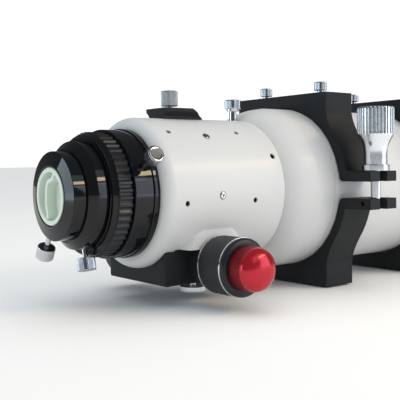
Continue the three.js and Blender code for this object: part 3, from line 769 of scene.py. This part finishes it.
# ---------------------------------------------------------------- tube, objective and dew shield
def tube_and_objective():
    flare = spline([
        (211.3, 69.3), (212.2, 70.2), (215, 72.8), (220, 76.2), (226, 78.9), (233.5, 80.9), (244, 82.5),
    ])
    adapter = lathe("tube_adapter_body", [
        (211.3, 62), (222, 62), (236, 77), (276, 77), (276, 80.2), (266.4, 80.2), (266.4, 82.5, 0.2),
        *flare[::-1],
    ], OPTICS, even_angles(256))
    stand_in(shaded(adapter, 38), "tube_adapter")
    tube_low, tube_high = (in_optics(v.x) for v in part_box("main_tube"))
    tube = ring("main_tube_body", tube_low, tube_high, 80.5, 82.5, OPTICS, angles=even_angles(256))
    stand_in(shaded(tube), "main_tube")
    cell = lathe("objective_cell_body", [
        (676, 74), (700, 74), (700, 78.4), (752, 78.4, 0.8), (752, 90, 0.8), (748, 90, 0.4),
        (746.5, 88.8, 0.3), (743, 88.8, 0.3), (741.5, 90, 0.4), (690.3, 90, 0.8), (690.3, 80.2), (676, 80.2),
    ], OPTICS)
    stand_in(shaded(cell), "objective_cell")

    def bulge(x, sag, steps=16):
        return [(x + sag * (1 - (k / steps) ** 2), 78 * k / steps, 0) for k in range(steps, -1, -1)]

    crown = lathe("crown_lens_body", [*bulge(722, -3.4)[::-1], *bulge(731, 4.2)], OPTICS)
    stand_in(shaded(crown), "crown_lens")
    retainer = ring("lens_retainer_body", 731.6, 738, 76, 78, OPTICS)
    stand_in(shaded(retainer), "lens_retainer")


def dew_shield():
    low, high = (in_optics(v.x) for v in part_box("dew_shield"))
    shield = lathe("dew_shield_body", [
        (low, 85.4), (low + 12, 85.4), (low + 12, 92.5), (high, 92.5, 0.6), (high, 95, 1.2),
        (high - 5, 95, 0.3), (high - 5.6, 94.5, 0.2), (high - 6.6, 94.5, 0.2), (high - 7.2, 95, 0.3),
        (low + 9.2, 95, 0.3),
        (low + 8.6, 94.5, 0.2), (low + 7.6, 94.5, 0.2), (low + 7, 95, 0.3), (low, 95, 1.6),
    ], OPTICS, even_angles(256))
    stand_in(shaded(shield), "dew_shield")
    face = in_optics(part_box("dust_cap")[1].x)
    ribs = 90

    def rim(x, r, angle):
        wave = 0.5 + 0.5 * math.cos(angle * ribs)
        return x, r - (0.6 * wave if r > 97.3 and high - 14 < x < face - 2.2 else 0)

    cap = lathe("dust_cap_body", [
        (face - 0.5, 0), (face - 0.5, 14, 0.3), (face, 14.6, 0.3), (face, 20, 0.3), (face - 0.9, 21, 0.3),
        (face - 0.9, 78, 0.4), (face, 79.4, 0.4), (face, 96, 0.8), (face - 1.6, 97.6, 0.6),
        (face - 2.4, 97.6, 0), (high - 13.6, 97.6, 0), (high - 14.4, 97.6, 0), (high - 16, 97.6, 0.6),
        (high - 16, 95.4), (high + GAP, 95.4), (high + GAP, 0),
    ], OPTICS, ribbed_angles(ribs, (0, 0.25, 0.5, 0.75)), rim)
    stand_in(shaded(cap, 40), "dust_cap", material=KNURLED_BLACK)


# ---------------------------------------------------------------- mounting rings
BORE, OUTER, WALL_HALF, SPLIT = 84.3, 92.5, 66, 6.8
LUG_END, LUG_TOP, LUG_Y = 122, 16.8, -112.5
LOWER_SPLIT, LOWER_LUG, CLAMP_PIN_Z = 9.6, 20.1, -14.4
HINGE_Y, HINGE_R, HALF_WIDTH = 104, 9, 19.4
RING_TOP, RING_FOOT = 96.5, 100.3


def ring_outline(sign, reach, lug_inside, lug_outside):
    """One half's (y, z) outline with its lug on the near side and its hinge on the far side."""
    def arc(radius, start, end, steps):
        angles = [math.radians(start + (end - start) * k / steps) for k in range(steps + 1)]
        return [(radius * math.cos(a), radius * math.sin(a), 0) for a in angles]

    def bend(side):
        start = Vector((side * OUTER * math.cos(math.radians(30)), OUTER / 2))
        turn = Vector((side * (WALL_HALF + 1), 66))
        end = Vector((side * WALL_HALF, 77))
        return [(*bend_point(start, turn, end, k / 12), 0) for k in range(1, 13)]

    lug = math.degrees(math.asin(lug_outside / OUTER))
    split = math.degrees(math.asin(SPLIT / BORE))
    lug_split = math.degrees(math.asin(lug_inside / BORE))
    inner = math.sqrt(BORE ** 2 - SPLIT ** 2)
    root = math.sqrt(BORE ** 2 - lug_inside ** 2)
    bore_end = math.radians(180 - lug_split - 3)
    nose_from = Vector((BORE * math.cos(bore_end), BORE * math.sin(bore_end)))
    nose_turn = Vector((-root, lug_inside))
    nose_to = Vector((-root - 4.4, lug_inside))
    nose = [(*bend_point(nose_from, nose_turn, nose_to, k / 6), 0) for k in range(1, 7)]
    hinge_root = 5
    outline = [
        *nose, (-LUG_END, lug_inside, 0.6), (-LUG_END, lug_outside, 0.6),
        (-math.sqrt(OUTER ** 2 - lug_outside ** 2), lug_outside, 1.5),
        *arc(OUTER, 180 - lug - 2, 150, 12), *bend(-1),
        (-WALL_HALF, reach, 0.8), (WALL_HALF, reach, 0.8), *bend(1)[::-1], *arc(OUTER, 30, hinge_root, 12),
        (inner + 3, SPLIT, 0.5), *arc(BORE, split + 2.2, 180 - lug_split - 3, 96),
    ]
    return [(y, sign * z) for y, z in soften(outline, True, 4)]


def knuckle(name, x0, x1, sign, place):
    barrel = rod(name, x0, x1, HINGE_R, place @ Matrix.Translation((0, HINGE_Y * MM, 0)), MEDIUM)
    low, high = sorted((0, sign * LUG_TOP))
    web = block(name + "_web", (x0, 86.5, low), (x1, HINGE_Y + 4, high), place)
    bore = rod(name + "_bore", -30, 30, BORE + 0.02, place, 320)
    return cut(join(barrel, web), bore)


def across(name, x0, x1, radius, y, z, place):
    return rod(name, x0, x1, radius, place @ Matrix.Translation((0, y * MM, z * MM)))


def upright(name, z0, z1, radius, y, place, x=0.0):
    centre = place @ Vector((x * MM, y * MM, 0))
    return rod(name, z0, z1, radius, frame_along(centre, (0, 0, 1)))


def lug_slot(place):
    width = 5.5
    slot = block("slot", (-width, -LUG_END - 5, -30), (width, LUG_Y, 30), place)
    return join(slot, upright("slot_end", -30, 30, width, LUG_Y, place))


def mounting_ring(name):
    centre = centre_of(name + "_ring_lower")
    place = Matrix.Translation((centre.x, 0, AXIS_Z))
    third = 2 * HALF_WIDTH / 6
    tongue = third - 0.4

    lower = extruded(name + "_ring_lower_body", ring_outline(-1, RING_FOOT, LOWER_SPLIT, LOWER_LUG),
                     -HALF_WIDTH, HALF_WIDTH, place)
    join(lower, knuckle("k1", -HALF_WIDTH, -third, -1, place), knuckle("k2", third, HALF_WIDTH, -1, place))
    cut(
        lower, across("relief", -third, third, HINGE_R + 0.6, HINGE_Y, 0, place), lug_slot(place),
        across("clamp_bore", -40, 40, 2.3, LUG_Y, CLAMP_PIN_Z, place),
        across("hinge_bore", -40, 40, 3.3, HINGE_Y, 0, place),
        upright("foot_near", -RING_FOOT - 1, -RING_FOOT + 11, 3.3, -17.5, place),
        upright("foot_far", -RING_FOOT - 1, -RING_FOOT + 11, 3.3, 17.5, place),
    )
    stand_in(bevelled(lower, 0.6), name + "_ring_lower")

    upper = extruded(name + "_ring_upper_body", ring_outline(1, RING_TOP, SPLIT, LUG_TOP),
                     -HALF_WIDTH, HALF_WIDTH, place)
    cut(
        upper, across("relief_a", -HALF_WIDTH - 1, -tongue, HINGE_R + 0.6, HINGE_Y, 0, place),
        across("relief_b", tongue, HALF_WIDTH + 1, HINGE_R + 0.6, HINGE_Y, 0, place),
    )
    join(upper, knuckle("k3", -tongue, tongue, 1, place))
    cut(
        upper, lug_slot(place), across("hinge_bore", -40, 40, 3.3, HINGE_Y, 0, place),
        upright("top_near", RING_TOP - 7, RING_TOP + 1, 3.6, -41, place),
        upright("top_far", RING_TOP - 7, RING_TOP + 1, 3.6, 41, place),
    )
    stand_in(bevelled(upper, 0.6), name + "_ring_upper")

    clamp = frame_along(place @ Vector((0, LUG_Y * MM, 0)), (0, 0, 1))
    bolt = lathe(name + "_clamp_bolt_body", [(-19, 0), (-19, 4.8, 1.5), (31, 4.8, 0.8), (31, 0)], clamp,
                 even_angles(SMALL))
    cut(bolt, across("pin_bore", -8, 8, 2.3, LUG_Y, CLAMP_PIN_Z, place))
    stand_in(shaded(bolt), name + "_clamp_bolt")
    washer = ring(name + "_clamp_washer_body", LUG_TOP + GAP, LUG_TOP + 6, 6.2, 13.2, clamp,
                  angles=even_angles(MEDIUM), rounding=0.5)
    stand_in(shaded(washer), name + "_clamp_washer")

    base = LUG_TOP + 6 + GAP
    lobes = 28

    def flute(x, r, angle):
        along = (x - base - 29.3) / 0.8
        if r < 12 or along < 0:
            return x, r
        across_lobe = abs((angle * lobes / (2 * math.pi)) % 1 - 0.5) * 2
        return x, r - 1.0 * across_lobe ** 4.5 * min(1, along)

    waist = spline([(base + 9.5, 11.15), (base + 13.5, 11.25), (base + 17.5, 11.9), (base + 21.3, 13.3),
                    (base + 25, 15.3), (base + 28.2, 17.1), (base + 29.1, 17.4)], 4)
    head = [(base + 29.3 + 0.8 * k, 17.7, 0) for k in range(0, 31, 2)]
    knob = lathe(name + "_clamp_knob_body", [
        (base + 9, 0), (base + 9, 6.2), (base, 6.2), (base, 11.2, 0.3), *waist, *head,
        (base + 54.2, 17.6, 0.4), (base + 55.1, 17.0, 0.4), (base + 55.8, 15.6, 0.5),
        (base + 55.8, 10.4, 0.3), (base + 55.3, 9.6, 0.3), (base + 55.3, 0),
    ], clamp, ribbed_angles(lobes, [k / 14 for k in range(14)]), flute)
    stand_in(shaded(knob, 45), name + "_clamp_knob")
    for side in ("near", "far"):
        node = f"{name}_top_screw_{side}"
        joint = JOINTS[f"{node}_turn"]
        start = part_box(node)[0].z
        at = frame_along((joint["pos_m"][0], joint["pos_m"][1], start), (0, 0, 1))
        faced(stand_in(thumbscrew(f"{node}_body", at, 10, 3.2, 9, 6.6, knurls=32), node))


# ---------------------------------------------------------------- carried-over nodes
def finish_frame():
    """The CAD nodes that still show get their own finish."""
    flat = {"rear_baffle", "front_baffle"}
    for name, node in frame["nodes"].items():
        if node.hide_render:
            continue
        dress(node, FLAT_BLACK if name in flat else FINISH[NODE_SLOT[name]])


# ---------------------------------------------------------------- studio
def light(name, kind, direction, distance, energy, colour=(1, 1, 1), **values):
    """A lamp that looks at the middle of the telescope from a direction."""
    data = bpy.data.lights.new(name, kind)
    data.energy = energy
    data.color = colour
    for key, value in values.items():
        setattr(data, key, value)
    made = bpy.data.objects.new(name, data)
    bpy.context.scene.collection.objects.link(made)
    back = Vector(direction).normalized()
    made.location = Vector((-0.05, 0, 0.1)) + back * distance
    made.rotation_mode = "QUATERNION"
    made.rotation_quaternion = (-back).to_track_quat("-Z", "Y")
    return made


def softbox(name, direction, distance, width, height, radiance, colour=(1, 1, 1)):
    """A rectangular lamp of a given radiance."""
    energy = radiance * math.pi * width * height
    light(name, "AREA", direction, distance, energy, colour, shape="RECTANGLE", size=width, size_y=height)


def studio():
    place = frame_along((0, 0, -0.0215), (0, 0, 1))
    floor = lathe("studio_floor", [(0, 0), (0, 60), (0.02, 60), (0.02, 0)], place, even_angles(MEDIUM),
                  rounding=0, scale=1)
    n = Nodes("pale_floor")
    n.colour(n.noise(3, 2), (0.925, 0.93, 0.93), (0.94, 0.945, 0.945))
    n.roughness(n.noise(8, 2), 0.85, 0.95)
    n.set(Specular_IOR_Level=0.1)
    dress(floor, n.material)

    # White behind the object, an even fill on it, and little for its gloss to reflect but the softboxes.
    world = bpy.data.worlds.new("studio")
    bpy.context.scene.world = world
    world.use_nodes = True
    tree = world.node_tree
    tree.nodes.clear()

    def backdrop(strength, colour):
        node = tree.nodes.new("ShaderNodeBackground")
        node.inputs["Color"].default_value = (*colour, 1)
        node.inputs["Strength"].default_value = strength
        return node.outputs[0]

    def choice(ray, otherwise, chosen):
        mix = tree.nodes.new("ShaderNodeMixShader")
        tree.links.new(path.outputs[ray], mix.inputs[0])
        tree.links.new(otherwise, mix.inputs[1])
        tree.links.new(chosen, mix.inputs[2])
        return mix.outputs[0]

    path = tree.nodes.new("ShaderNodeLightPath")
    lit = choice("Is Diffuse Ray", backdrop(0.12, (0.9, 0.95, 1)), backdrop(0.45, (0.95, 0.98, 1)))
    output = tree.nodes.new("ShaderNodeOutputWorld")
    tree.links.new(choice("Is Camera Ray", lit, backdrop(1.1, (1, 1, 1))), output.inputs["Surface"])

    overhead = light("overhead", "SUN", (0.05, 0.1, 1), 3, 1.05, angle=math.radians(80))
    overhead.visible_glossy = False
    left_fill = light("left_fill", "SUN", (-0.8, -0.3, 0.5), 3, 0.28, angle=math.radians(70))
    left_fill.visible_glossy = False
    softbox("key", (0.15, -0.8, 0.6), 2.6, 2.0, 1.4, 0.9, (0.95, 0.98, 1))
    softbox("right_front", (0.61, -0.79, 0.08), 1.7, 0.9, 1.25, 2.6, (0.78, 0.88, 1))
    softbox("warm_strip", (0.518, -0.674, 0.526), 1.8, 0.9, 0.2, 15, (1, 0.78, 0.5))
    softbox("left_rear", (-0.87, 0.5, 0), 1.7, 0.9, 1.0, 3.4, (0.72, 0.88, 1))


def camera():
    """Near level, from the eyepiece end and the near side."""
    yaw, pitch, roll = (math.radians(v) for v in (37.87, 2.84, -0.8))
    forward = Vector((math.sin(yaw) * math.cos(pitch), math.cos(yaw) * math.cos(pitch), -math.sin(pitch)))
    level = Vector((math.cos(yaw), -math.sin(yaw), 0))
    rise = level.cross(forward)
    right = level * math.cos(roll) + rise * math.sin(roll)
    up = rise * math.cos(roll) - level * math.sin(roll)
    data = bpy.data.cameras.new("camera")
    data.lens = 66.6
    data.sensor_width = 36
    made = bpy.data.objects.new("camera", data)
    bpy.context.scene.collection.objects.link(made)
    turn = Matrix((right, up, -forward)).transposed().to_4x4()
    made.matrix_world = Matrix.Translation((-0.5756, -0.5745, 0.1268)) @ turn
    bpy.context.scene.camera = made


camera()
studio()
eyepiece_end()
plug()
focuser_body()
finder_shoe()
focus_drive()
housing()
tube_and_objective()
dew_shield()
mounting_ring("rear")
mounting_ring("front")
finish_frame()
bpy.context.scene.view_settings.view_transform = "Standard"
